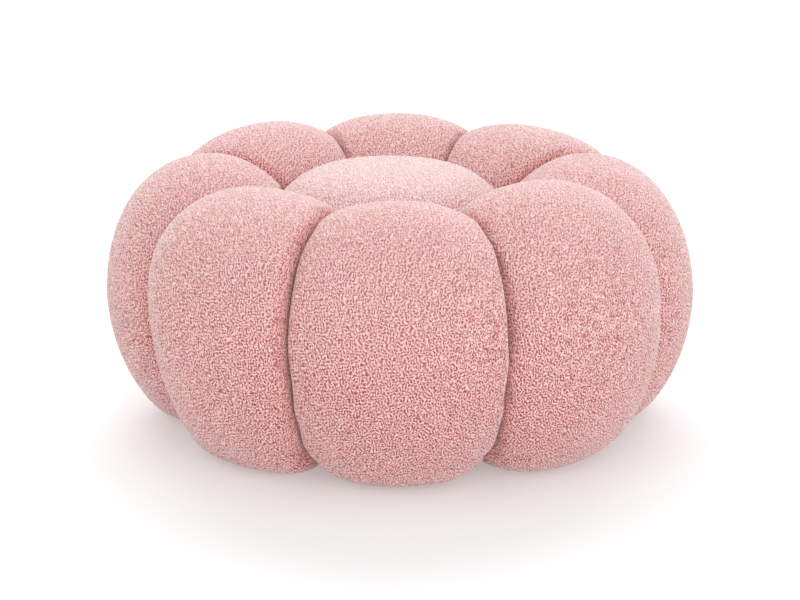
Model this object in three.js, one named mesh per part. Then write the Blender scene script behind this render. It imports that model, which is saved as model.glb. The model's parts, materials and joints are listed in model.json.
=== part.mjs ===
// Boucle pouf: a ring of eight plump lobes pressed together around a domed seat cushion.
// Millimetres, +Z up. The origin is on the pouf's axis at floor level, and the front faces -Y.
//
// A lobe starts as a pillow: upright, with its thickness pointing out from the pouf's axis and
// rounded by powers as a superellipse is. The lobes beside it, the seat and the floor then press
// it flat where they meet it, and each pressed edge is softened.
// A lobe's own axes are X out from the pouf's axis, Y sideways and Z up.

import * as THREE from 'three';

// Driving dimensions of the pillow that every lobe starts from
const OUTER_RADIUS = 420;
const SPINE_RADIUS = 266;
const SPINE_HEIGHT = 195;
const PILLOW_INNER_RADIUS = 91;
const PILLOW_DROP = 228;
const OUTLINE_POWER = { outerTop: 2.28, outerBottom: 1.78, inner: 1.63 };
const SIDE_POWER = { top: 2.31, bottom: 2.11 };
const SIDE_BLEND = 80;

// What each lobe does of its own, because hand-filled cushions differ.
// Angles are in degrees, lengths in millimetres:
//   turn     turned round the pouf's axis from its even place
//   out      moved out from the axis
//   lean     leaned sideways
//   tilt     tipped outwards at the top
//   top      height of the top
//   half     half its width before pressing
//   skew     wider by this much on its left and narrower on its right
//   full     added to the side powers, for a squarer width
//   lift     its widest level above SPINE_HEIGHT
//   wall     turn of the contact plane between it and the next lobe
const LOBE_COLUMNS = ['name', 'turn', 'out', 'lean', 'tilt', 'top', 'half', 'skew', 'full', 'lift', 'wall'];
const LOBE_ROWS = [
  ['lobe_front', -1.2, 0, -1.8, -2.6, 384, 188, 2, -0.10, 4, 0.0],
  ['lobe_front_right', 0.6, -6, 0.6, -8.6, 388, 186, 8, 0.04, -8, 1.0],
  ['lobe_right', 1.8, 5, -0.2, -5.9, 380, 185, 2, -0.04, -12, 0.7],
  ['lobe_back_right', 0.2, -6, -0.1, -4.8, 384, 186, -5, 0.18, 3, 1.8],
  ['lobe_back', 0.9, 2, -0.3, -4.6, 385, 186, 1, 0.02, 0, -0.1],
  ['lobe_back_left', 1.4, 2, 0.3, -4.6, 389, 185, 4, -0.01, 3, 0.6],
  ['lobe_left', 0.3, 5, 0.2, -4.4, 385, 185, -1, -0.32, -7, 0.6],
  ['lobe_front_left', 2.1, 0, 0.3, -3.5, 382, 182, 24, 0.17, 33, -0.1],
];

// The seat cushion, a little left of the pouf's axis
const SEAT_CENTRE = new THREE.Vector2(-15, 0);
const SEAT_RADIUS = 170;
const SEAT_TOP = 367;
const SEAT_SHOULDER_HEIGHT = 290;
const SEAT_DOME_POWER = 2.6;
const SEAT_DRUM_RADIUS = 151;
const SEAT_EASE = 105;
const SEAT_FOOT_FILLET = 14;

// Contact between the pieces
const WALL_GAP = 2;
const SEAT_GAP = 4;
const WALL_SOFTNESS = 36;
const SEAT_SOFTNESS = 12;
const FLOOR_SOFTNESS = 20;
const FLAT_TOLERANCE = 0.01;

// How finely the surfaces are divided, and how they are found from each lobe's hub
const LOBE_COLUMNS_AROUND = 44;
const EDGE_RINGS = 4;
const OPEN_RINGS = 8;
const SEAT_SIDES = 48;
const SEAT_DOME_STEPS = 8;
const SEAT_SIDE_STEPS = 5;
const HUB_HEIGHT = 250;
const SEARCH_STEP = 4;
const SEARCH_LIMIT = 600;
const HALVINGS = 24;

// Colours from the photograph
const LOBE_COLOUR = 0xe0a9a6;
const SEAT_COLOUR = 0xe6b3b0;
const FABRIC_ROUGHNESS = 0.95;

const SIDEWAYS = new THREE.Vector3(0, 1, 0);
const OUTWARD = new THREE.Vector3(1, 0, 0);
const radians = THREE.MathUtils.degToRad;

const lobes = LOBE_ROWS.map((row) => Object.fromEntries(LOBE_COLUMNS.map((column, i) => [column, row[i]])));
const lobePitch = 360 / lobes.length;

// The smaller of two lengths, rounded where they are within softness of each other.
function softMin(a, b, softness) {
  const overlap = Math.max(softness - Math.abs(a - b), 0) / softness;
  return Math.min(a, b) - (overlap * overlap * softness) / 4;
}

// Length of the vector (a, b) measured with a power in place of Pythagoras's 2.
function powerLength(a, b, power) {
  return (Math.abs(a) ** power + Math.abs(b) ** power) ** (1 / power);
}

// Radius of the seat cushion at a height, from the drum at its foot to the dome on top.
function seatRadius(height) {
  if (height > SEAT_SHOULDER_HEIGHT) {
    const rise = Math.min((height - SEAT_SHOULDER_HEIGHT) / (SEAT_TOP - SEAT_SHOULDER_HEIGHT), 1);
    return SEAT_RADIUS * (1 - rise ** SEAT_DOME_POWER) ** (1 / SEAT_DOME_POWER);
  }
  const ease = THREE.MathUtils.smoothstep(SEAT_SHOULDER_HEIGHT - height, 0, SEAT_EASE);
  return THREE.MathUtils.lerp(SEAT_RADIUS, SEAT_DRUM_RADIUS, ease);
}

// How far out of the middle of a lobe's unpressed pillow a point lies: 1 is on its surface.
function pillowLevel(lobe, spine, point) {
  const own = point.clone().sub(spine).applyAxisAngle(OUTWARD, radians(lobe.lean));
  own.applyAxisAngle(SIDEWAYS, radians(-lobe.tilt));
  const isOuter = own.x > 0;
  const isTop = own.z > 0;
  const depth = isOuter ? OUTER_RADIUS - SPINE_RADIUS : SPINE_RADIUS - PILLOW_INNER_RADIUS;
  const height = isTop ? lobe.top - spine.z : PILLOW_DROP + lobe.lift;
  const halfWidth = lobe.half + lobe.skew * Math.sign(own.y);
  const outerPower = isTop ? OUTLINE_POWER.outerTop : OUTLINE_POWER.outerBottom;
  const outlinePower = isOuter ? outerPower : OUTLINE_POWER.inner;
  const upper = THREE.MathUtils.smoothstep(own.z, -SIDE_BLEND, SIDE_BLEND);
  const sidePower = THREE.MathUtils.lerp(SIDE_POWER.bottom, SIDE_POWER.top, upper) + lobe.full;
  const outline = powerLength(own.x / depth, own.z / height, outlinePower);
  return powerLength(outline, own.y / halfWidth, sidePower);
}

// Distance along a direction from a start to where a clearance first runs out, or Infinity.
function firstCrossing(start, along, clearance) {
  const clearanceAt = (reach) => clearance(start.clone().addScaledVector(along, reach));
  let far = SEARCH_STEP;
  while (far < SEARCH_LIMIT && clearanceAt(far) > 0) far += SEARCH_STEP;
  if (far >= SEARCH_LIMIT) return Infinity;
  let near = far - SEARCH_STEP;
  for (let i = 0; i < HALVINGS; i += 1) {
    const middle = (near + far) / 2;
    if (clearanceAt(middle) > 0) near = middle;
    else far = middle;
  }
  return near;
}

// Distance along a direction from a start to an upright contact plane through the pouf's axis.
// The angle is from the lobe's outward axis, and side is 1 on the lobe's left and -1 on its right.
function wallReach(start, along, angle, side) {
  const normal = new THREE.Vector3(-Math.sin(angle), Math.cos(angle), 0).multiplyScalar(side);
  const slope = along.dot(normal);
  return slope > 0 ? (-start.dot(normal) - WALL_GAP / 2) / slope : Infinity;
}

// Distance along a direction from a start down to the floor.
function floorReach(start, along) {
  return along.z < 0 ? start.z / -along.z : Infinity;
}

// Distance along a direction from the hub to the surface that the pillow, seat and floor leave.
function openReach(place, along) {
  const { lobe, hub, spine, seatCentre } = place;
  const pillowRoom = (point) => 1 - pillowLevel(lobe, spine, point);
  const seatRoom = (point) =>
    Math.hypot(point.x - seatCentre.x, point.y - seatCentre.y) - seatRadius(point.z) - SEAT_GAP;
  const reach = softMin(
    firstCrossing(hub, along, pillowRoom),
    firstCrossing(hub, along, seatRoom),
    SEAT_SOFTNESS,
  );
  return softMin(reach, floorReach(hub, along), FLOOR_SOFTNESS);
}

// A point on a lobe's pressed surface, in the lobe's own axes.
function lobePoint(place, along) {
  let reach = openReach(place, along);
  reach = softMin(reach, wallReach(place.hub, along, place.leftWall, 1), WALL_SOFTNESS);
  reach = softMin(reach, wallReach(place.hub, along, place.rightWall, -1), WALL_SOFTNESS);
  const point = place.hub.clone().addScaledVector(along, reach);
  if (point.z < FLAT_TOLERANCE) point.z = 0;
  return point;
}

// Where a lobe stands, and what presses on it, in its own axes.
function lobePlace(index) {
  const lobe = lobes[index];
  const before = lobes[(index + lobes.length - 1) % lobes.length];
  const facing = radians(index * lobePitch + lobe.turn - 90);
  const hub = new THREE.Vector3(SPINE_RADIUS + lobe.out, 0, HUB_HEIGHT);
  const spine = new THREE.Vector3(SPINE_RADIUS + lobe.out, 0, SPINE_HEIGHT + lobe.lift);
  const seatCentre = SEAT_CENTRE.clone().rotateAround(new THREE.Vector2(), -facing);
  const leftWall = radians(lobePitch / 2 + lobe.wall - lobe.turn);
  const rightWall = radians(-lobePitch / 2 + before.wall - lobe.turn);
  return { lobe, facing, hub, spine, seatCentre, leftWall, rightWall };
}

// A direction that starts at sideways +Y, leans by an angle from it, and is turned round it.
function direction(fromLeft, around) {
  const sine = Math.sin(fromLeft);
  return new THREE.Vector3(sine * Math.cos(around), Math.cos(fromLeft), sine * Math.sin(around));
}

// Angle from +Y at which a contact plane is nearer than the open surface by just a lead.
// Side is 1 for the left contact plane, and -1 for the right one, where it counts back from -Y.
function edgeAngle(place, around, side, lead) {
  const wall = side > 0 ? place.leftWall : place.rightWall;
  let pressed = 0;
  let open = Math.PI / 2;
  for (let i = 0; i < HALVINGS; i += 1) {
    const middle = (pressed + open) / 2;
    const along = direction(side > 0 ? middle : Math.PI - middle, around);
    if (wallReach(place.hub, along, wall, side) + lead < openReach(place, along)) pressed = middle;
    else open = middle;
  }
  return side > 0 ? open : Math.PI - open;
}

// Even steps from one angle to another, without the first.
function evenSteps(from, to, steps) {
  return Array.from({ length: steps }, (_, step) => from + ((to - from) * (step + 1)) / steps);
}

// The points of one loop of the surface, over its middle from the left end to the right end.
// The flat pressed sides take no rings inside them, the soft edges a few and the open surface the rest.
function columnPoints(place, column) {
  const around = (2 * Math.PI * column) / LOBE_COLUMNS_AROUND;
  const leftSide = edgeAngle(place, around, 1, WALL_SOFTNESS);
  const leftEdge = edgeAngle(place, around, 1, -WALL_SOFTNESS);
  const rightEdge = edgeAngle(place, around, -1, -WALL_SOFTNESS);
  const rightSide = edgeAngle(place, around, -1, WALL_SOFTNESS);
  const angles = [leftSide];
  angles.push(...evenSteps(leftSide, leftEdge, EDGE_RINGS));
  angles.push(...evenSteps(leftEdge, rightEdge, OPEN_RINGS));
  angles.push(...evenSteps(rightEdge, rightSide, EDGE_RINGS));
  return angles.map((fromLeft) => lobePoint(place, direction(fromLeft, around)));
}

// Triangles of a closed surface made of rings of equal length between two end points.
// The first end point is vertex 0, the rings follow in order, and the other end point is last.
function ringTriangles(rings, columns) {
  const triangles = [];
  const last = 1 + rings * columns;
  const vertex = (ring, column) => 1 + ring * columns + (column % columns);
  for (let column = 0; column < columns; column += 1) {
    triangles.push(0, vertex(0, column + 1), vertex(0, column));
    for (let ring = 0; ring + 1 < rings; ring += 1) {
      triangles.push(vertex(ring, column), vertex(ring, column + 1), vertex(ring + 1, column));
      triangles.push(vertex(ring, column + 1), vertex(ring + 1, column + 1), vertex(ring + 1, column));
    }
    triangles.push(vertex(rings - 1, column), vertex(rings - 1, column + 1), last);
  }
  return triangles;
}

function lobeGeometry(place) {
  const loops = [];
  for (let column = 0; column < LOBE_COLUMNS_AROUND; column += 1) loops.push(columnPoints(place, column));
  const rings = loops[0].length;
  const points = [lobePoint(place, SIDEWAYS)];
  for (let ring = 0; ring < rings; ring += 1) points.push(...loops.map((loop) => loop[ring]));
  points.push(lobePoint(place, SIDEWAYS.clone().negate()));
  const geometry = new THREE.BufferGeometry().setFromPoints(points);
  geometry.setIndex(ringTriangles(rings, LOBE_COLUMNS_AROUND));
  return geometry;
}

function fabric(colour) {
  return new THREE.MeshStandardMaterial({ color: colour, roughness: FABRIC_ROUGHNESS, metalness: 0 });
}

function lobeMesh(index) {
  const place = lobePlace(index);
  const mesh = new THREE.Mesh(lobeGeometry(place), fabric(LOBE_COLOUR));
  mesh.name = place.lobe.name;
  mesh.rotation.z = place.facing;
  return mesh;
}

// Half the seat's upright section, from the middle of its flat underside up to the top of its dome.
function seatProfile() {
  const profile = [new THREE.Vector2(0, 0), new THREE.Vector2(SEAT_DRUM_RADIUS - SEAT_FOOT_FILLET, 0)];
  profile.push(new THREE.Vector2(SEAT_DRUM_RADIUS, SEAT_FOOT_FILLET));
  const sideStart = SEAT_SHOULDER_HEIGHT - SEAT_EASE;
  for (let step = 0; step < SEAT_SIDE_STEPS; step += 1) {
    const height = sideStart + (SEAT_EASE * step) / SEAT_SIDE_STEPS;
    profile.push(new THREE.Vector2(seatRadius(height), height));
  }
  const domeHeight = SEAT_TOP - SEAT_SHOULDER_HEIGHT;
  for (let step = 0; step < SEAT_DOME_STEPS; step += 1) {
    const angle = (Math.PI / 2) * (step / SEAT_DOME_STEPS);
    const radius = SEAT_RADIUS * Math.cos(angle) ** (2 / SEAT_DOME_POWER);
    const height = SEAT_SHOULDER_HEIGHT + domeHeight * Math.sin(angle) ** (2 / SEAT_DOME_POWER);
    profile.push(new THREE.Vector2(radius, height));
  }
  profile.push(new THREE.Vector2(0, SEAT_TOP));
  return profile;
}

function seatMesh() {
  const geometry = new THREE.LatheGeometry(seatProfile(), SEAT_SIDES);
  geometry.rotateX(Math.PI / 2);
  const mesh = new THREE.Mesh(geometry, fabric(SEAT_COLOUR));
  mesh.name = 'seat';
  mesh.position.set(SEAT_CENTRE.x, SEAT_CENTRE.y, 0);
  return mesh;
}

const pouf = new THREE.Group();
const ringOfLobes = new THREE.Group();
lobes.forEach((lobe, index) => ringOfLobes.add(lobeMesh(index)));
pouf.add(ringOfLobes, seatMesh());

export default pouf;
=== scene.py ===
"""Boucle pouf: eight plump lobes pressed together around a domed seat, in pale pink boucle."""
import json
import math

import bpy
import numpy as np
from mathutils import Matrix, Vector

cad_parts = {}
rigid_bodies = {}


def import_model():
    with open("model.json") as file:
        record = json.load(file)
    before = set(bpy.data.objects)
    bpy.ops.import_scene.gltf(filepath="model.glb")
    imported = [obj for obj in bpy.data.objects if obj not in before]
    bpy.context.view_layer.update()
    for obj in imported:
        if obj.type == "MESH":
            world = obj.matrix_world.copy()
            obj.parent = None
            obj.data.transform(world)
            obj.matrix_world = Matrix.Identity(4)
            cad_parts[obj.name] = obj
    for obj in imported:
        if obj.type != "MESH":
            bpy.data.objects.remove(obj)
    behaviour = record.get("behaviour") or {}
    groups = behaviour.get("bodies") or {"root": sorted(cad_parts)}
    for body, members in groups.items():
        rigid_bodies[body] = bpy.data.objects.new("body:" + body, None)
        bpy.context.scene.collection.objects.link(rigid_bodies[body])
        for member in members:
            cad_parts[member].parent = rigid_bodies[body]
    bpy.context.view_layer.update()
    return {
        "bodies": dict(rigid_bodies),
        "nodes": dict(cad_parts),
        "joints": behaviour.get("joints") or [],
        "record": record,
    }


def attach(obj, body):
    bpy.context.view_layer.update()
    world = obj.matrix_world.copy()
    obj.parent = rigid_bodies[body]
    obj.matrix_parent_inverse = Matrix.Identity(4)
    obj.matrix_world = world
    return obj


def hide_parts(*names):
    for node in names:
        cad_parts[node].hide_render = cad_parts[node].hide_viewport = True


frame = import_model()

MM = 0.001
WHITE = (1, 1, 1, 1)

# The shape, in millimetres and degrees, as the CAD solids have it
OUTER_RADIUS = 420
SPINE_RADIUS = 266
SPINE_HEIGHT = 195
PILLOW_INNER_RADIUS = 91
PILLOW_DROP = 228
OUTER_TOP_POWER = 2.28
OUTER_BOTTOM_POWER = 1.78
INNER_POWER = 1.63
SIDE_TOP_POWER = 2.31
SIDE_BOTTOM_POWER = 2.11
SIDE_BLEND = 80

# What each lobe does of its own: turned round the pouf's axis, moved out, leaned sideways, tilted
# outwards, its top height, half its width, wider on its left by skew, squarer by full, its widest
# level lifted, and the turn of the contact plane between it and the next lobe
LOBE_FIELDS = ("name", "turn", "out", "lean", "tilt", "top", "half", "skew", "full", "lift", "wall")
LOBE_ROWS = (
    ("lobe_front", -1.2, 0, -1.8, -2.6, 384, 188, 2, -0.10, 4, 0.0),
    ("lobe_front_right", 0.6, -6, 0.6, -8.6, 388, 186, 8, 0.04, -8, 1.0),
    ("lobe_right", 1.8, 5, -0.2, -5.9, 380, 185, 2, -0.04, -12, 0.7),
    ("lobe_back_right", 0.2, -6, -0.1, -4.8, 384, 186, -5, 0.18, 3, 1.8),
    ("lobe_back", 0.9, 2, -0.3, -4.6, 385, 186, 1, 0.02, 0, -0.1),
    ("lobe_back_left", 1.4, 2, 0.3, -4.6, 389, 185, 4, -0.01, 3, 0.6),
    ("lobe_left", 0.3, 5, 0.2, -4.4, 385, 185, -1, -0.32, -7, 0.6),
    ("lobe_front_left", 2.1, 0, 0.3, -3.5, 382, 182, 24, 0.17, 33, -0.1),
)
LOBES = [dict(zip(LOBE_FIELDS, row)) for row in LOBE_ROWS]
LOBE_PITCH = 360 / len(LOBES)
# The height of each lobe's hub, the inner point that its surface is measured from
HUB_HEIGHT = 250

SEAT_CENTRE = (-15, 0)
SEAT_RADIUS = 170
SEAT_TOP = 367
SEAT_SHOULDER_HEIGHT = 290
SEAT_DOME_POWER = 2.6
SEAT_DRUM_RADIUS = 151
SEAT_EASE = 105
SEAT_FOOT_FILLET = 14

# Contact between the pieces: their gaps, and how far the bend beside a contact reaches
WALL_GAP = 0.6
SEAT_GAP = 1
WALL_SOFTNESS = 6
SEAT_SOFTNESS = 6
FLOOR_SOFTNESS = 20

# How the surfaces are found and divided. The part of a lobe from HIDDEN_FROM to HIDDEN_TO degrees
# round its Y axis has fewer columns, and pressed surfaces have fewer rings
FAR = 9999
SEARCH_STEP = 6
SEARCH_LIMIT = 600
HALVINGS = 20
PROFILE_SAMPLES = 181
LOBE_MESH_COLUMNS = 76
LOBE_MESH_RINGS = 39
HIDDEN_FROM = 165
HIDDEN_TO = 285
HIDDEN_SHARE = 0.3
PRESSED_SHARE = 0.25
OPEN_DEPTH = 5
SEAT_SQUARES = 32
SEAT_SIDE_RINGS = 10
SUBDIVISIONS = 2


def soft_min(a, b, softness):
    """The smaller of two lengths, rounded where they are within softness of each other."""
    overlap = np.maximum(softness - np.abs(a - b), 0) / softness
    return np.minimum(a, b) - overlap * overlap * softness / 4


def power_length(a, b, power):
    """Length of the vector (a, b) measured with a power in place of Pythagoras's 2."""
    return (np.abs(a) ** power + np.abs(b) ** power) ** (1 / power)


def smoothstep(value, low, high):
    """0 up to low, 1 from high on and smooth between them."""
    share = np.clip((value - low) / (high - low), 0, 1)
    return share * share * (3 - 2 * share)


def seat_radius(height):
    """Radius of the seat cushion at a height."""
    rise = np.clip((height - SEAT_SHOULDER_HEIGHT) / (SEAT_TOP - SEAT_SHOULDER_HEIGHT), 0, 1)
    dome = SEAT_RADIUS * (1 - rise**SEAT_DOME_POWER) ** (1 / SEAT_DOME_POWER)
    ease = smoothstep(SEAT_SHOULDER_HEIGHT - height, 0, SEAT_EASE)
    drum = SEAT_RADIUS + (SEAT_DRUM_RADIUS - SEAT_RADIUS) * ease
    return np.where(height > SEAT_SHOULDER_HEIGHT, dome, drum)


def turned(a, b, angle):
    """The plane vectors (a, b) turned by an angle in radians."""
    cosine, sine = math.cos(angle), math.sin(angle)
    return a * cosine - b * sine, a * sine + b * cosine


class Lobe:
    """One lobe in its own axes: X out from the pouf's axis, Y to its left and Z up."""

    def __init__(self, index):
        own = LOBES[index]
        before = LOBES[index - 1]
        self.own = own
        self.facing = math.radians(index * LOBE_PITCH + own["turn"] - 90)
        self.spine = np.array([SPINE_RADIUS + own["out"], 0, SPINE_HEIGHT + own["lift"]])
        self.hub = np.array([SPINE_RADIUS + own["out"], 0, HUB_HEIGHT])
        self.seat = turned(*SEAT_CENTRE, -self.facing)
        self.walls = {
            1: math.radians(LOBE_PITCH / 2 + own["wall"] - own["turn"]),
            -1: math.radians(-LOBE_PITCH / 2 + before["wall"] - own["turn"]),
        }

    def pillow_room(self, points):
        """Positive inside the unpressed pillow and negative outside it."""
        own = self.own
        x, y, z = (points - self.spine).T
        y, z = turned(y, z, math.radians(own["lean"]))
        z, x = turned(z, x, -math.radians(own["tilt"]))
        depth = np.where(x > 0, OUTER_RADIUS - SPINE_RADIUS, SPINE_RADIUS - PILLOW_INNER_RADIUS)
        height = np.where(z > 0, own["top"] - self.spine[2], PILLOW_DROP + own["lift"])
        half_width = own["half"] + own["skew"] * np.sign(y)
        outer_power = np.where(z > 0, OUTER_TOP_POWER, OUTER_BOTTOM_POWER)
        outline_power = np.where(x > 0, outer_power, INNER_POWER)
        upper = smoothstep(z, -SIDE_BLEND, SIDE_BLEND)
        side_power = SIDE_BOTTOM_POWER + (SIDE_TOP_POWER - SIDE_BOTTOM_POWER) * upper + own["full"]
        outline = power_length(x / depth, z / height, outline_power)
        return 1 - power_length(outline, y / half_width, side_power)

    def seat_room(self, points):
        """Positive outside the seat and its gap, and negative inside them."""
        x, y, z = points.T
        return np.hypot(x - self.seat[0], y - self.seat[1]) - seat_radius(z) - SEAT_GAP

    def wall_reach(self, along, side):
        """Distance from the hub to a contact plane: side 1 is the left one and -1 the right one."""
        angle = self.walls[side]
        normal = side * np.array([-math.sin(angle), math.cos(angle), 0])
        slope = along @ normal
        reach = (-self.hub @ normal - WALL_GAP / 2) / np.where(slope > 0, slope, 1)
        return np.where(slope > 0, reach, FAR)

    def floor_reach(self, along):
        """Distance from the hub to the floor."""
        down = -along[:, 2]
        return np.where(down > 0, HUB_HEIGHT / np.where(down > 0, down, 1), FAR)

    def reaches(self, along):
        """Distance from the hub to the lobe's surface: the pillow's, or what it is pressed on."""
        reach = first_crossing(self.hub, along, self.pillow_room)
        reach = soft_min(reach, first_crossing(self.hub, along, self.seat_room), SEAT_SOFTNESS)
        reach = soft_min(reach, self.floor_reach(along), FLOOR_SOFTNESS)
        for side in self.walls:
            reach = soft_min(reach, self.wall_reach(along, side), WALL_SOFTNESS)
        return reach

    def points(self, from_left, around):
        """Surface points in the directions that lean from +Y by from_left and turn round it."""
        sine = np.sin(from_left)
        along = np.stack([sine * np.cos(around), np.cos(from_left), sine * np.sin(around)], -1)
        shape = along.shape
        along = along.reshape(-1, 3)
        return (self.hub + along * self.reaches(along)[:, None]).reshape(shape)

    def openness(self, points):
        """1 on the open surface and 0 where another piece or the floor presses on it."""
        flat = points.reshape(-1, 3)
        depth = flat[:, 2]
        for side, angle in self.walls.items():
            normal = side * np.array([-math.sin(angle), math.cos(angle), 0])
            depth = np.minimum(depth, -flat @ normal - WALL_GAP / 2)
        depth = np.minimum(depth, self.seat_room(flat))
        return smoothstep(depth, 0, OPEN_DEPTH).reshape(points.shape[:-1])

    def placed(self, points):
        """Own points in the pouf's frame, in metres."""
        x, y = turned(points[..., 0], points[..., 1], self.facing)
        return np.stack([x, y, points[..., 2]], -1) * MM


def first_crossing(start, along, room):
    """Distance along each direction from a start to where the room first runs out, or FAR."""
    far = np.full(len(along), float(FAR))
    for reach in range(SEARCH_STEP, SEARCH_LIMIT, SEARCH_STEP):
        outside = room(start + along * reach) <= 0
        far = np.where(outside & (far == FAR), reach, far)
    found = far < FAR
    near = np.where(found, far - SEARCH_STEP, far)
    for _ in range(HALVINGS):
        middle = (near + far) / 2
        inside = room(start + along * middle[:, None]) > 0
        near = np.where(inside, middle, near)
        far = np.where(inside, far, middle)
    return np.where(found, near, FAR)


def even_by_weight(values, steps, weights, count):
    """Picks count values so that each two are the same weighted length apart.
    steps and weights belong to the stretches between neighbouring values."""
    length = np.concatenate([[0], np.cumsum(steps * weights)])
    return np.interp(np.linspace(0, length[-1], count), length, values)


def column_turns(lobe):
    """Turns round the lobe's Y axis of its columns, close where the surface shows."""
    turns = np.radians(np.linspace(HIDDEN_TO - 360, HIDDEN_TO, 2 * PROFILE_SAMPLES))
    profile = lobe.points(np.full_like(turns, math.pi / 2), turns)
    steps = np.linalg.norm(np.diff(profile, axis=0), axis=1)
    hidden = np.degrees(turns[1:]) > HIDDEN_FROM
    weights = np.where(hidden, HIDDEN_SHARE, 1)
    return even_by_weight(turns, steps, weights, LOBE_MESH_COLUMNS + 1)[:-1]


def ring_leans(lobe, turn):
    """Leans from the lobe's Y axis of the rings in one column, close where the surface is open."""
    leans = np.linspace(0, math.pi, PROFILE_SAMPLES)
    points = lobe.points(leans, np.full_like(leans, turn))
    steps = np.linalg.norm(np.diff(points, axis=0), axis=1)
    openness = lobe.openness(points)
    weights = PRESSED_SHARE + (1 - PRESSED_SHARE) * (openness[1:] + openness[:-1]) / 2
    return even_by_weight(leans, steps, weights, LOBE_MESH_RINGS + 2)


def lobe_cage(index):
    """Points, faces and openness of a lobe's coarse mesh: a point, rings of points, and a point."""
    lobe = Lobe(index)
    turns = column_turns(lobe)
    leans = np.array([ring_leans(lobe, turn) for turn in turns])
    grid = lobe.points(leans, np.repeat(turns[:, None], LOBE_MESH_RINGS + 2, axis=1))
    rings = grid[:, 1:-1].transpose(1, 0, 2)
    points = np.concatenate([grid[:1, 0], rings.reshape(-1, 3), grid[:1, -1]])
    faces = ring_faces(LOBE_MESH_RINGS, len(turns), 1, True)
    return lobe.placed(points), faces, lobe.openness(points)


def ring_faces(rings, columns, first, has_start):
    """Faces that join rings of points in a row, from first on, with an end point just after them,
    and where has_start is true a start point just before them."""
    number = np.arange(columns)
    following = (number + 1) % columns
    faces = []
    if has_start:
        faces += [(first - 1, first + b, first + a) for a, b in zip(number, following)]
    for ring in range(rings - 1):
        low = first + ring * columns
        high = low + columns
        faces += [(low + a, low + b, high + b, high + a) for a, b in zip(number, following)]
    last = first + (rings - 1) * columns
    end = last + columns
    faces += [(last + a, last + b, end) for a, b in zip(number, following)]
    return [tuple(int(corner) for corner in face) for face in faces]


def seat_profile():
    """Radii and heights of half the seat's upright section, from its top centre to its underside's."""
    lean = np.linspace(math.pi / 2, 0, PROFILE_SAMPLES)
    dome_radius = SEAT_RADIUS * np.cos(lean).clip(0) ** (2 / SEAT_DOME_POWER)
    dome_rise = np.sin(lean).clip(0) ** (2 / SEAT_DOME_POWER)
    dome_height = SEAT_SHOULDER_HEIGHT + (SEAT_TOP - SEAT_SHOULDER_HEIGHT) * dome_rise
    side_height = np.linspace(SEAT_SHOULDER_HEIGHT, SEAT_FOOT_FILLET, PROFILE_SAMPLES)[1:]
    bend = np.linspace(0, math.pi / 2, PROFILE_SAMPLES)[1:]
    fillet_radius = SEAT_DRUM_RADIUS - SEAT_FOOT_FILLET * (1 - np.cos(bend))
    fillet_height = SEAT_FOOT_FILLET * (1 - np.sin(bend))
    radius = np.concatenate([dome_radius, seat_radius(side_height), fillet_radius, [0]])
    height = np.concatenate([dome_height, side_height, fillet_height, [0]])
    return radius, height


def disc_grid():
    """A square grid drawn out to a disc: each point's share of the disc's radius, its turn round
    the disc's centre and its number, row by row."""
    line = np.linspace(-1, 1, SEAT_SQUARES + 1)
    u, v = np.meshgrid(line, line, indexing="ij")
    ring = np.maximum(np.abs(u), np.abs(v))
    share = np.where(ring > 0, np.minimum(np.abs(u), np.abs(v)) / np.where(ring > 0, ring, 1), 0)
    bend = share * math.pi / 4
    octant = np.where(np.abs(u) >= np.abs(v), bend, math.pi / 2 - bend)
    down = np.sin(octant) * np.where(v < 0, -1, 1)
    turn = np.arctan2(down, np.cos(octant) * np.where(u < 0, -1, 1))
    return ring.ravel(), turn.ravel(), np.arange(ring.size).reshape(ring.shape)


def seat_cage():
    """Points, faces and openness of the seat's coarse mesh: squares on its dome, rings below."""
    radius, height = seat_profile()
    length = np.concatenate([[0], np.cumsum(np.hypot(np.diff(radius), np.diff(height)))])
    dome_length = length[PROFILE_SAMPLES - 1]
    ring, turns, number = disc_grid()
    faces = list(
        zip(number[:-1, :-1].flat, number[1:, :-1].flat, number[1:, 1:].flat, number[:-1, 1:].flat)
    )
    rim = np.concatenate([number[:-1, 0], number[-1, :-1], number[:0:-1, -1], number[0, :0:-1]])
    columns = len(rim)
    steps = np.linspace(dome_length, length[-1], SEAT_SIDE_RINGS + 2)[1:-1]
    distances = np.concatenate([ring * dome_length, np.repeat(steps, columns), [length[-1]]])
    turns = np.concatenate([turns, np.tile(turns[rim], SEAT_SIDE_RINGS), [0]])
    first = number.size
    following = [(a + 1) % columns for a in range(columns)]
    faces += [(rim[b], rim[a], first + a, first + b) for a, b in enumerate(following)]
    side = ring_faces(SEAT_SIDE_RINGS, columns, first, False)
    faces += [face[::-1] for face in side]
    radii = np.interp(distances, length, radius)
    heights = np.interp(distances, length, height)
    x = SEAT_CENTRE[0] + radii * np.cos(turns)
    y = SEAT_CENTRE[1] + radii * np.sin(turns)
    points = np.stack([x, y, heights], -1) * MM
    low, high = SEAT_SHOULDER_HEIGHT - OPEN_DEPTH, SEAT_SHOULDER_HEIGHT + OPEN_DEPTH
    openness = smoothstep(heights, low, high)
    return points, [tuple(int(corner) for corner in face) for face in faces], openness


def new_piece(name, points, faces, openness):
    """A piece with a cage's points and faces, and how open its surface is at each point."""
    mesh = bpy.data.meshes.new(name)
    mesh.from_pydata(points.tolist(), [], faces)
    attribute = mesh.attributes.new("open", "FLOAT", "POINT")
    attribute.data.foreach_set("value", openness.astype(np.float32))
    mesh.update()
    piece = bpy.data.objects.new(name, mesh)
    bpy.context.scene.collection.objects.link(piece)
    return piece


# The filling: each cushion starts slack and is swelled by its inner pressure, in millimetres
SLACK = 1.5
MOST_SWELL = 4
MOST_DIP = 1
PRESSURE = 80
LAST_FRAME = 20


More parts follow.
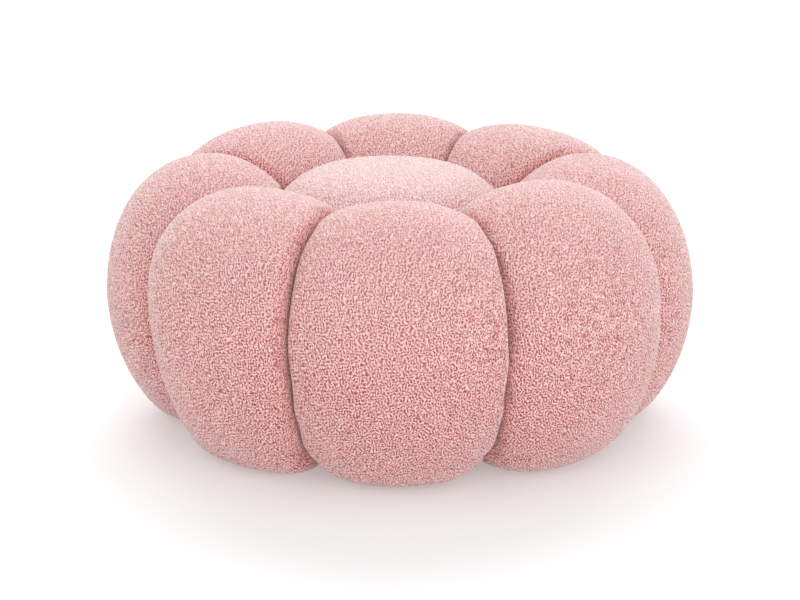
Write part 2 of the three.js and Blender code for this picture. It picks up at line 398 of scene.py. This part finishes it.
def read_vectors(collection, name):
    """A vector of each item of a mesh's collection, as an array of rows."""
    values = np.empty(len(collection) * 3)
    collection.foreach_get(name, values)
    return values.reshape(-1, 3)


def shift_points(piece, shift):
    """Moves a piece's points along their normals by a shift for each of them, in metres."""
    points = read_vectors(piece.data.vertices, "co")
    points += read_vectors(piece.data.vertices, "normal") * shift[:, None]
    piece.data.vertices.foreach_set("co", points.ravel())
    piece.data.update()


def add_filling(piece):
    """Draws the open surface in, and adds cloth under pressure that is held where it is pressed."""
    openness = np.empty(len(piece.data.vertices), np.float32)
    piece.data.attributes["open"].data.foreach_get("value", openness)
    shift_points(piece, -SLACK * MM * openness)
    held = piece.vertex_groups.new(name="held")
    for number, share in enumerate(1 - openness):
        held.add([number], float(share), "REPLACE")
    cloth = piece.modifiers.new("filling", "CLOTH")
    cloth.settings.vertex_group_mass = held.name
    cloth.settings.use_pressure = True
    cloth.settings.uniform_pressure_force = PRESSURE
    cloth.settings.effector_weights.gravity = 0
    cloth.collision_settings.use_collision = False
    cloth.point_cache.frame_end = LAST_FRAME


def keep_swell(piece):
    """Keeps how far the simulation moved the piece's points along their normals, softly limited,
    and takes the cloth away."""
    evaluated = piece.evaluated_get(bpy.context.evaluated_depsgraph_get())
    moved = read_vectors(evaluated.data.vertices, "co") - read_vectors(piece.data.vertices, "co")
    swell = (moved * read_vectors(piece.data.vertices, "normal")).sum(axis=1) / MM
    piece.modifiers.clear()
    piece.vertex_groups.clear()
    limit = np.where(swell > 0, MOST_SWELL, MOST_DIP)
    shift_points(piece, np.tanh(swell / limit) * limit * MM)


def fill_out(pieces):
    """Swells all the pieces in one cloth simulation."""
    scene = bpy.context.scene
    for piece in pieces:
        add_filling(piece)
    for frame in range(1, LAST_FRAME + 1):
        scene.frame_set(frame)
    for piece in pieces:
        keep_swell(piece)
    scene.frame_set(1)


def apply_modifiers(piece):
    """Replaces a piece's mesh by what its modifiers make of it."""
    bpy.context.view_layer.update()
    evaluated = piece.evaluated_get(bpy.context.evaluated_depsgraph_get())
    mesh = bpy.data.meshes.new_from_object(evaluated)
    piece.modifiers.clear()
    old = piece.data
    piece.data = mesh
    mesh.name = old.name
    bpy.data.meshes.remove(old)


# The boucle: curls of fabric, in millimetres, as raised in the meshes and as drawn in the material
MIDDLE = 0.5
CURL_WAVES = 12
RAISED_CURLS = {
    "shortest": 6.5, "longest": 6.5, "gain": 0.17, "pull": 5, "pull_size": 11, "seed": 9,
}
DRAWN_CURLS = {
    "shortest": 3.1, "longest": 4.8, "gain": 0.15, "pull": 7, "pull_size": 9, "seed": 3,
}
RAISED_HEIGHT = 0.6
RAISED_LOWEST = -0.5
RAISED_HIGHEST = 1.5
CONTACT_SHARE = 0.3
DRAWN_DEPTH = 0.6
FIBRE_SIZE = 1.5
FIBRE_DETAIL = 1.0
FIBRE_SHARE = 2.2


def feed(tree, socket, value):
    """Links a socket to another one, or sets its value."""
    if isinstance(value, bpy.types.NodeSocket):
        tree.links.new(value, socket)
    else:
        socket.default_value = value


def math_node(tree, operation, *values):
    """The result of an operation on numbers."""
    made = tree.nodes.new("ShaderNodeMath")
    made.operation = operation
    for place, value in enumerate(values):
        feed(tree, made.inputs[place], value)
    return made.outputs[0]


def vector_node(tree, operation, *values):
    """The result of an operation on vectors, or on a vector and a number."""
    made = tree.nodes.new("ShaderNodeVectorMath")
    made.operation = operation
    for place, value in enumerate(values):
        socket = made.inputs["Scale"] if operation == "SCALE" and place == 1 else made.inputs[place]
        feed(tree, socket, value)
    return made.outputs["Value" if operation == "DOT_PRODUCT" else "Vector"]


def noise(tree, position, size, detail=0.0):
    """Noise whose features are about size millimetres across, as a node."""
    made = tree.nodes.new("ShaderNodeTexNoise")
    feed(tree, made.inputs["Vector"], position)
    made.inputs["Scale"].default_value = 1 / (size * MM)
    made.inputs["Detail"].default_value = detail
    return made


def curl_height(tree, position, shortest, longest, gain, pull, pull_size, seed):
    """Nodes for the height of the curls at a position, about 0 in the gaps and 1 on top: waves
    from shortest to longest in random directions, at a position that noise pulls about."""
    random = np.random.default_rng(seed)
    directions = random.normal(size=(CURL_WAVES, 3))
    directions /= np.linalg.norm(directions, axis=1)[:, None]
    phases = random.uniform(0, 2 * math.pi, CURL_WAVES)
    lengths = np.geomspace(shortest, longest, CURL_WAVES) * MM
    pulls = noise(tree, position, pull_size).outputs["Color"]
    shift = vector_node(tree, "SUBTRACT", pulls, (MIDDLE,) * 3)
    pulled = vector_node(tree, "ADD", position, vector_node(tree, "SCALE", shift, pull * MM))
    height = MIDDLE
    for direction, phase in zip(directions * 2 * math.pi / lengths[:, None], phases):
        along = vector_node(tree, "DOT_PRODUCT", pulled, direction)
        wave = math_node(tree, "SINE", math_node(tree, "ADD", along, phase))
        height = math_node(tree, "MULTIPLY_ADD", wave, gain, height)
    return height


def store_node(tree, geometry, kind, name, value):
    """Keeps a value of the points as an attribute of theirs, and gives the geometry that has it."""
    store = tree.nodes.new("GeometryNodeStoreNamedAttribute")
    store.data_type = kind
    store.domain = "POINT"
    store.inputs["Name"].default_value = name
    tree.links.new(geometry, store.inputs["Geometry"])
    feed(tree, store.inputs["Value"], value)
    return store.outputs[0]


def relief_nodes():
    """Geometry nodes that keep the smooth surface's position and how far it faces up, and raise the
    curls."""
    tree = bpy.data.node_groups.new("boucle relief", "GeometryNodeTree")
    tree.interface.new_socket("Geometry", in_out="INPUT", socket_type="NodeSocketGeometry")
    tree.interface.new_socket("Geometry", in_out="OUTPUT", socket_type="NodeSocketGeometry")
    entry = tree.nodes.new("NodeGroupInput")
    leave = tree.nodes.new("NodeGroupOutput")
    position = tree.nodes.new("GeometryNodeInputPosition").outputs[0]
    normal = tree.nodes.new("GeometryNodeInputNormal").outputs[0]
    openness = tree.nodes.new("GeometryNodeInputNamedAttribute")
    openness.inputs["Name"].default_value = "open"
    share = math_node(
        tree, "MULTIPLY_ADD", openness.outputs["Attribute"], 1 - CONTACT_SHARE, CONTACT_SHARE
    )
    height = math_node(tree, "MAXIMUM", curl_height(tree, position, **RAISED_CURLS), RAISED_LOWEST)
    height = math_node(tree, "MINIMUM", height, RAISED_HIGHEST)
    centred = math_node(tree, "SUBTRACT", height, MIDDLE)
    rise = math_node(tree, "MULTIPLY", centred, share)
    rise = math_node(tree, "MULTIPLY", rise, RAISED_HEIGHT * MM)
    upward = vector_node(tree, "DOT_PRODUCT", normal, (0, 0, 1))
    smooth = store_node(tree, entry.outputs[0], "FLOAT_VECTOR", "smooth_position", position)
    smooth = store_node(tree, smooth, "FLOAT", "upward", upward)
    move = tree.nodes.new("GeometryNodeSetPosition")
    tree.links.new(smooth, move.inputs["Geometry"])
    feed(tree, move.inputs["Offset"], vector_node(tree, "SCALE", normal, rise))
    tree.links.new(move.outputs[0], leave.inputs[0])
    return tree


# The fabric's colours: its curls' from the gaps between them, dark there as painted shade, to their
# tops, and its fibres colour, a painted highlight that shows most where it faces up, where the curls'
# bumps are calmed too
FABRICS = {
    "lobe_fabric": {
        "curls": ((0.330, 0.066, 0.058), (0.650, 0.312, 0.302), (0.865, 0.607, 0.596)),
        "fibres": (0.785, 0.550, 0.538),
    },
    # The seat's copy of the fabric is paler: painted highlight and sheen for a top that faces the
    # light from above and is seen at a slant
    "seat_fabric": {
        "curls": ((0.440, 0.100, 0.091), (0.685, 0.385, 0.375), (0.895, 0.750, 0.740)),
        "fibres": (0.800, 0.650, 0.642),
    },
}
CURL_LOWEST = -0.05
CURL_HIGHEST = 1.05
# The painted highlight on upward faces: where it starts, as how far the surface faces up, and how much
# of it shows where the surface faces straight up
PAINTED_HIGHLIGHT_FROM = -0.2
PAINTED_HIGHLIGHT_MOST = 0.32
CALM = 0.1
# Painted bounce light in the creases: how much lighter and redder the colour is made where a piece is
# pressed on another
PAINTED_CREASE_BOUNCE = (1.1, 1.0, 0.98)
BLOOM = 1.0
BLOOM_ROUGHNESS = 0.3
MATTE = 1.0
FABRIC_SPECULAR = 0.1
BLOOM_TINT = (1.0, 0.91, 0.9)


def attribute_node(tree, name):
    """A node that reads an attribute of the mesh."""
    made = tree.nodes.new("ShaderNodeAttribute")
    made.attribute_name = name
    return made


def range_node(tree, value, low, high, most=1.0):
    """0 where the value is low and most where it is high."""
    made = tree.nodes.new("ShaderNodeMapRange")
    feed(tree, made.inputs["Value"], value)
    made.inputs["From Min"].default_value = low
    made.inputs["From Max"].default_value = high
    made.inputs["To Max"].default_value = most
    return made.outputs[0]


# The places of a Mix node's sockets for colours
MIX_FACTOR, MIX_A, MIX_B = 0, 6, 7
MIX_RESULT = 2


def mix_node(tree, kind, share, first, second):
    """The first colour, mixed with the second by the share."""
    made = tree.nodes.new("ShaderNodeMix")
    made.data_type = "RGBA"
    made.blend_type = kind
    made.clamp_result = True
    feed(tree, made.inputs[MIX_FACTOR], share)
    feed(tree, made.inputs[MIX_A], first)
    feed(tree, made.inputs[MIX_B], second)
    return made.outputs[MIX_RESULT]


def boucle(name):
    """Matte curly pile: rose, with painted shade in the gaps between the curls, paler on the curls, a
    painted highlight where it faces up and painted bounce light where it is pressed, with a soft
    bloom where it turns away."""
    fabric = FABRICS[name]
    material = bpy.data.materials.new(name)
    material.use_nodes = True
    tree = material.node_tree
    shader = tree.nodes["Principled BSDF"]
    position = attribute_node(tree, "smooth_position").outputs["Vector"]
    fibres = noise(tree, position, FIBRE_SIZE, FIBRE_DETAIL).outputs[0]
    fibres = math_node(tree, "MULTIPLY", math_node(tree, "SUBTRACT", fibres, MIDDLE), FIBRE_SHARE)
    height = math_node(tree, "ADD", curl_height(tree, position, **DRAWN_CURLS), fibres)
    # The ramp's dark gap colour is painted shade between the curls; the change of tone towards the
    # tops is also the curls' pattern
    ramp = tree.nodes.new("ShaderNodeValToRGB")
    feed(tree, ramp.inputs["Fac"], range_node(tree, height, CURL_LOWEST, CURL_HIGHEST))
    stops = ramp.color_ramp.elements
    stops.new(MIDDLE)
    for stop, colour in zip(stops, fabric["curls"]):
        stop.color = (*colour, 1)
    # Painted highlight: the fibres colour mixed in where the surface faces up, lighter on top as if
    # lit from above, with the curls' bumps calmed there
    upward = attribute_node(tree, "upward").outputs["Fac"]
    share = range_node(tree, upward, PAINTED_HIGHLIGHT_FROM, 1, PAINTED_HIGHLIGHT_MOST)
    colour = mix_node(tree, "MIX", share, ramp.outputs["Color"], (*fabric["fibres"], 1))
    # Painted bounce light: lighter and redder colour where the piece is pressed on another
    pressed = math_node(tree, "SUBTRACT", 1.0, attribute_node(tree, "open").outputs["Fac"])
    colour = mix_node(tree, "MULTIPLY", pressed, colour, (*PAINTED_CREASE_BOUNCE, 1))
    tree.links.new(colour, shader.inputs["Base Color"])
    shader.inputs["Roughness"].default_value = MATTE
    shader.inputs["Specular IOR Level"].default_value = FABRIC_SPECULAR
    shader.inputs["Sheen Weight"].default_value = BLOOM
    shader.inputs["Sheen Roughness"].default_value = BLOOM_ROUGHNESS
    shader.inputs["Sheen Tint"].default_value = (*BLOOM_TINT, 1)
    bump = tree.nodes.new("ShaderNodeBump")
    calm = math_node(tree, "MULTIPLY", share, CALM)
    feed(tree, bump.inputs["Strength"], math_node(tree, "SUBTRACT", 1.0, calm))
    bump.inputs["Distance"].default_value = DRAWN_DEPTH * MM
    feed(tree, bump.inputs["Height"], height)
    tree.links.new(bump.outputs[0], shader.inputs["Normal"])
    return material


def finish_piece(piece, node, relief, material):
    """Subdivides a cage, raises its curls, gives it its fabric, hangs it on the root body and hides
    the
    CAD part that it stands for.
    """
    subdivide = piece.modifiers.new("subdivide", "SUBSURF")
    subdivide.levels = SUBDIVISIONS
    subdivide.render_levels = SUBDIVISIONS
    curls = piece.modifiers.new("curls", "NODES")
    curls.node_group = relief
    apply_modifiers(piece)
    piece.data.shade_smooth()
    piece.data.materials.clear()
    piece.data.materials.append(material)
    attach(piece, "root")
    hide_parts(node)


def build_pouf():
    """The eight lobes and the seat, filled out and covered in boucle."""
    relief = relief_nodes()
    fabrics = {slot: boucle(slot) for slot in FABRICS}
    pieces = {
        lobe["name"]: new_piece(lobe["name"] + "_cushion", *lobe_cage(index))
        for index, lobe in enumerate(LOBES)
    }
    pieces["seat"] = new_piece("seat_cushion", *seat_cage())
    fill_out(pieces.values())
    for node, piece in pieces.items():
        slot = "seat_fabric" if node == "seat" else "lobe_fabric"
        finish_piece(piece, node, relief, fabrics[slot])


# The view and the light
CAMERA_PITCH = 16.66
CAMERA_DISTANCE = 3.531
CAMERA_AIM = Vector((0.0003, 0, 0.1684))
FOCAL_PIXELS = 2417.9
FRAME_WIDTH = 800
SENSOR_WIDTH = 36
FLOOR_HALF = 9
FLOOR_WHITENESS = 0.6
FLOOR_GLOW = 0.3
SKY_STRENGTH = 1.0
LAMP_SPREAD = 60
LAMP_FIELDS = ("name", "strength", "towards")
LAMP_ROWS = (
    ("behind", 2.8, (0, 0.87, 0.5)),
    ("front", 1.2, (0.3, -0.94, 0.17)),
)


def build_camera():
    """A camera where the photograph's was."""
    data = bpy.data.cameras.new("camera")
    data.sensor_width = SENSOR_WIDTH
    data.lens = FOCAL_PIXELS * SENSOR_WIDTH / FRAME_WIDTH
    camera = bpy.data.objects.new("camera", data)
    pitch = math.radians(CAMERA_PITCH)
    forward = Vector((0, math.cos(pitch), -math.sin(pitch)))
    camera.location = CAMERA_AIM - forward * CAMERA_DISTANCE
    camera.rotation_euler = forward.to_track_quat("-Z", "Y").to_euler()
    bpy.context.scene.collection.objects.link(camera)
    bpy.context.scene.camera = camera


def build_floor():
    """A plain pale floor that glows a little, so that it stays pale under the pouf's shadow."""
    mesh = bpy.data.meshes.new("floor")
    corners = [(-FLOOR_HALF, -FLOOR_HALF, 0), (FLOOR_HALF, -FLOOR_HALF, 0)]
    corners += [(FLOOR_HALF, FLOOR_HALF, 0), (-FLOOR_HALF, FLOOR_HALF, 0)]
    mesh.from_pydata(corners, [], [(0, 1, 2, 3)])
    floor = bpy.data.objects.new("floor", mesh)
    material = bpy.data.materials.new("floor")
    material.use_nodes = True
    shader = material.node_tree.nodes["Principled BSDF"]
    shader.inputs["Base Color"].default_value = (FLOOR_WHITENESS,) * 3 + (1,)
    shader.inputs["Roughness"].default_value = MATTE
    shader.inputs["Specular IOR Level"].default_value = 0
    shader.inputs["Emission Color"].default_value = WHITE
    shader.inputs["Emission Strength"].default_value = FLOOR_GLOW
    mesh.materials.append(material)
    bpy.context.scene.collection.objects.link(floor)


def build_light():
    """A white sky and two wide soft lamps."""
    world = bpy.data.worlds.new("studio")
    world.use_nodes = True
    background = world.node_tree.nodes["Background"]
    background.inputs["Color"].default_value = WHITE
    background.inputs["Strength"].default_value = SKY_STRENGTH
    bpy.context.scene.world = world
    for row in LAMP_ROWS:
        lamp = dict(zip(LAMP_FIELDS, row))
        data = bpy.data.lights.new(lamp["name"], "SUN")
        data.energy = lamp["strength"]
        data.angle = math.radians(LAMP_SPREAD)
        light = bpy.data.objects.new(lamp["name"], data)
        light.rotation_euler = Vector(lamp["towards"]).to_track_quat("Z", "Y").to_euler()
        bpy.context.scene.collection.objects.link(light)
    bpy.context.scene.view_settings.view_transform = "Standard"


build_camera()
build_floor()
build_light()
build_pouf()
